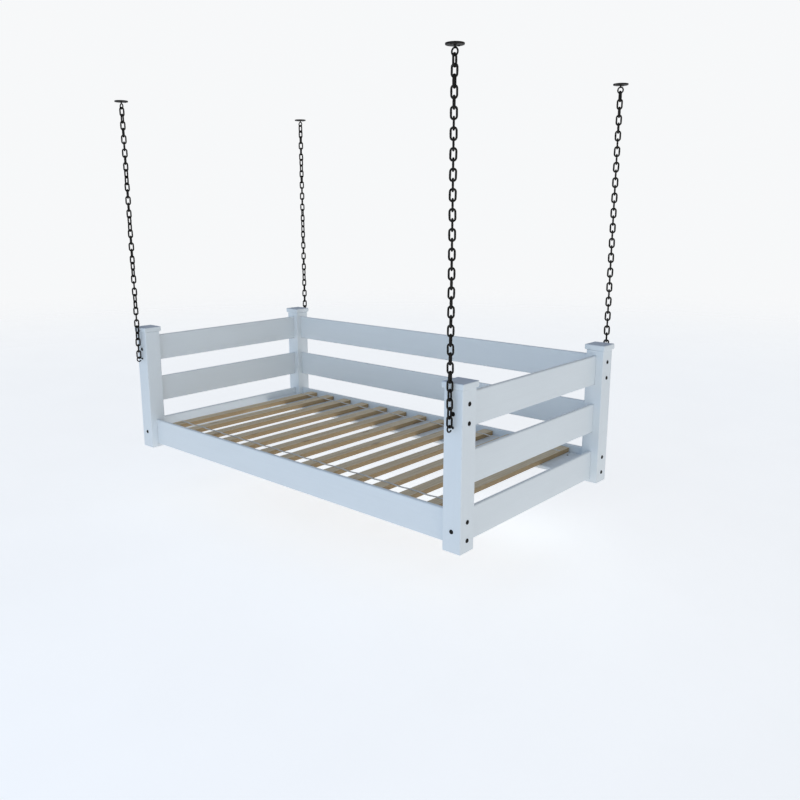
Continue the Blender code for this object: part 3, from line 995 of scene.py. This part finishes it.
class DAYBED_OT_chains(Operator):
    """Four chains of welded links, each in its three hinged runs"""
    bl_idname = "daybed.chains"
    bl_label = "Chains"

    def execute(self, context):
        wire = ironwork().link_wire / 2
        single = extent("top_link_front_left")
        run_length = extent("chain_upper_front_left").z
        spacing = (run_length - single.z) / (CHAIN_RUNS["chain_upper"][0] - 1)
        half_width = max(single.x, single.y) / 2 - wire
        for corner in CORNERS:
            below = 0
            for run, (count, lie) in CHAIN_RUNS.items():
                node = f"{run}_{corner}"
                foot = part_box(node)[0].z
                centre = middle(node)
                shape = bmesh.new()
                layer = shape.verts.layers.float.new("rubbed")
                draw = random.Random(node)
                for index in range(count):
                    turn = math.pi / 2 * ((index + lie) % 2) + chain_angle(corner, below + index)
                    lean = math.radians(draw.uniform(-LINK_LEAN, LINK_LEAN))
                    where = Vector((centre.x, centre.y, foot + single.z / 2 + index * spacing))
                    place = Matrix.Translation(where) @ Matrix.Rotation(turn, 4, "Z")
                    add_link(shape, layer, place @ Matrix.Rotation(lean, 4, "Y"),
                             spacing / 2 + wire, half_width, wire, draw)
                below += count
                mesh = to_mesh(shape, f"{node}_links")
                new_piece(mesh.name, mesh, "dark_oiled_steel", node, [node])
        return {"FINISHED"}


class DAYBED_OT_ceiling_eyes(Operator):
    """Round ceiling plates with a welded ring and two screws each"""
    bl_idname = "daybed.ceiling_eyes"
    bl_label = "Ceiling eyes"

    def execute(self, context):
        wire = ironwork().eye_wire / 2
        for corner in CORNERS:
            node = f"ceiling_eye_{corner}"
            low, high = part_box(node)
            centre = middle(node)
            upright = Matrix.Translation((centre.x, centre.y, 0))
            radius = (high.x - low.x) / 2
            base = high.z - PLATE_THICKNESS
            shape = bmesh.new()
            plate = [
                (PLATE_HEART, base, 0), (radius - PLATE_FILLET, base, 0),
                (radius - PLATE_FILLET * 0.3, base + PLATE_FILLET * 0.3, 0),
                (radius, base + PLATE_FILLET, 0), (radius, high.z - PLATE_RIM, 0),
                (radius - PLATE_RIM, high.z, 0), (PLATE_HEART, high.z, 0),
            ]
            lathe(shape, plate, upright, sides=64)
            ring_centre = Vector((centre.x, centre.y, low.z + wire + PLATE_RING))
            angles = [math.tau * step / RING_STEPS for step in range(RING_STEPS)]
            path = [ring_centre + PLATE_RING * Vector((math.cos(angle), 0, math.sin(angle)))
                    for angle in angles]
            tube(shape, path, [wire] * len(path), True, WIRE_SIDES)
            neck_top = base + NECK_SINK
            neck_low = ring_centre.z + PLATE_RING - wire * NECK_START
            heights = (neck_low, (neck_low + neck_top) / 2, neck_top)
            neck = [(wire * width, height, 0) for width, height in zip(NECK_WIDTHS, heights)]
            lathe(shape, neck, upright, sides=24)
            for side in (-1, 1):
                place = Vector((centre.x, centre.y + side * radius * SCREW_SPREAD, base + SCREW_SINK))
                lathe(shape, CEILING_SCREW, facing((0, 0, -1), place), sides=24)
            mesh = to_mesh(shape, f"{node}_plate")
            new_piece(mesh.name, mesh, "dark_oiled_steel", "ceiling", [node])
            mesh.set_sharp_from_angle(angle=math.radians(PLATE_CREASE))
        return {"FINISHED"}


# ---- Stage --------------------
class DAYBED_OT_stage(Operator):
    """Pale floor, porch-like soft light and the camera"""
    bl_idname = "daybed.stage"
    bl_label = "Stage"

    def execute(self, context):
        self.floor(context)
        self.sky(context)
        self.lamp(context)
        self.camera(context)
        return {"FINISHED"}

    def floor(self, context):
        settings = context.scene.daybed_stage
        shape = bmesh.new()
        bmesh.ops.create_circle(shape, cap_ends=True, segments=FLOOR_SIDES, radius=FLOOR_RADIUS)
        bmesh.ops.translate(shape, vec=(0, 0, -settings.floor_drop), verts=shape.verts)
        mesh = to_mesh(shape, "floor")
        floor = bpy.data.objects.new("floor", mesh)
        context.scene.collection.objects.link(floor)
        finish = Finish("pale_floor")
        place = finish.add("ShaderNodeTexCoord", output="Object")
        tone = finish.blend(finish.noise(place, scale=1.7, detail=3).ramp(0.35, 0.7) * 0.4,
                            settings.floor, shade(settings.floor, 0.97))
        finish.shine(Base_Color=tone, Roughness=0.9, Specular_IOR_Level=0.15, Emission_Color=tone,
                     Emission_Strength=settings.floor_glow)
        x, y, _ = finish.parts(place)
        reach = (x * x + y * y) ** 0.5
        clear = finish.add("ShaderNodeBsdfTransparent")
        fade = finish.add("ShaderNodeMixShader", {}, {
            0: reach.ramp(*FLOOR_FADE), 1: Signal(finish, finish.surface.outputs[0]), 2: clear})
        finish.feed(finish.tree.nodes["Material Output"].inputs["Surface"], fade)
        mesh.materials.append(finish.material)

    def sky(self, context):
        settings = context.scene.daybed_stage
        world = bpy.data.worlds.new("porch_light")
        context.scene.world = world
        world.use_nodes = True
        sky = ShaderTree(world.node_tree)
        x, y, z = sky.parts(sky.add("ShaderNodeTexCoord", output="Generated"))
        horizon = sky.blend(x.ramp(*SIDE_SKY), settings.horizon_front, settings.horizon_side)
        horizon = sky.blend(y.ramp(*BACK_SKY), horizon, settings.horizon_back)
        # The porch roof covers the sky overhead, and less of it towards the open front.
        height = z + ROOF_OPENING * y.least(0.0)
        light = sky.blend(height.ramp(*ROOF_SKY), horizon, settings.zenith)
        seen = sky.add("ShaderNodeLightPath", output="Is Camera Ray")
        colour = world.node_tree.nodes["Background"].inputs["Color"]
        sky.feed(colour, sky.blend(seen, light, settings.backdrop))

    def lamp(self, context):
        settings = context.scene.daybed_stage
        light = bpy.data.lights.new("front_light", "AREA")
        light.shape = "DISK"
        light.size = settings.lamp_size
        light.energy = settings.lamp_power
        light.color = settings.lamp_colour
        lamp = bpy.data.objects.new("front_light", light)
        context.scene.collection.objects.link(lamp)
        lamp.matrix_world = facing(settings.lamp_place - settings.lamp_target, settings.lamp_place)
        lamp.visible_camera = False

    def camera(self, context):
        settings = context.scene.daybed_stage
        camera = bpy.data.cameras.new("camera")
        camera.sensor_width = SENSOR_WIDTH
        camera.lens = settings.lens
        camera.shift_x, camera.shift_y = settings.shift
        viewer = bpy.data.objects.new("camera", camera)
        context.scene.collection.objects.link(viewer)
        viewer.matrix_world = (
            Matrix.Translation(settings.camera_place)
            @ Matrix.Rotation(settings.camera_turn, 4, "Z")
            @ Matrix.Rotation(math.pi / 2 - settings.camera_dip, 4, "X")
            @ Matrix.Rotation(settings.camera_roll, 4, "Z"))
        context.scene.camera = viewer
        context.scene.view_settings.view_transform = "Standard"


# ---- Panel and running --------------------
OPERATORS = (
    DAYBED_OT_stage, DAYBED_OT_posts, DAYBED_OT_caps, DAYBED_OT_rails, DAYBED_OT_cleats,
    DAYBED_OT_deck_board, DAYBED_OT_slats, DAYBED_OT_tapes, DAYBED_OT_bolts, DAYBED_OT_screw_eyes,
    DAYBED_OT_chains, DAYBED_OT_ceiling_eyes,
)


class DAYBED_PT_panel(Panel):
    """Lists the daybed's settings and the steps that build it"""
    bl_idname = "DAYBED_PT_panel"
    bl_label = "Hanging Daybed"
    bl_space_type = "VIEW_3D"
    bl_region_type = "UI"
    bl_category = "Daybed"

    def draw(self, context):
        for group in (getattr(context.scene, name) for name in GROUPS):
            column = self.layout.column(align=True)
            for name in group.bl_rna.properties.keys():
                if name not in ("rna_type", "name"):
                    column.prop(group, name)
        for operator in OPERATORS:
            self.layout.operator(operator.bl_idname)


GROUPS = {
    "daybed_boards": DAYBED_PG_boards, "daybed_ironwork": DAYBED_PG_ironwork,
    "daybed_stage": DAYBED_PG_stage,
}


def register():
    for name, group in GROUPS.items():
        bpy.utils.register_class(group)
        setattr(bpy.types.Scene, name, PointerProperty(type=group))
    for operator in OPERATORS:
        bpy.utils.register_class(operator)
    bpy.utils.register_class(DAYBED_PT_panel)


def unregister():
    bpy.utils.unregister_class(DAYBED_PT_panel)
    for operator in reversed(OPERATORS):
        bpy.utils.unregister_class(operator)
    for name, group in GROUPS.items():
        delattr(bpy.types.Scene, name)
        bpy.utils.unregister_class(group)


def main():
    register()
    bpy.ops.daybed.stage()
    bpy.ops.daybed.posts()
    bpy.ops.daybed.caps()
    bpy.ops.daybed.rails()
    bpy.ops.daybed.cleats()
    bpy.ops.daybed.deck_board()
    bpy.ops.daybed.slats()
    bpy.ops.daybed.tapes()
    bpy.ops.daybed.bolts()
    bpy.ops.daybed.screw_eyes()
    bpy.ops.daybed.chains()
    bpy.ops.daybed.ceiling_eyes()


if __name__ == "__main__":
    main()
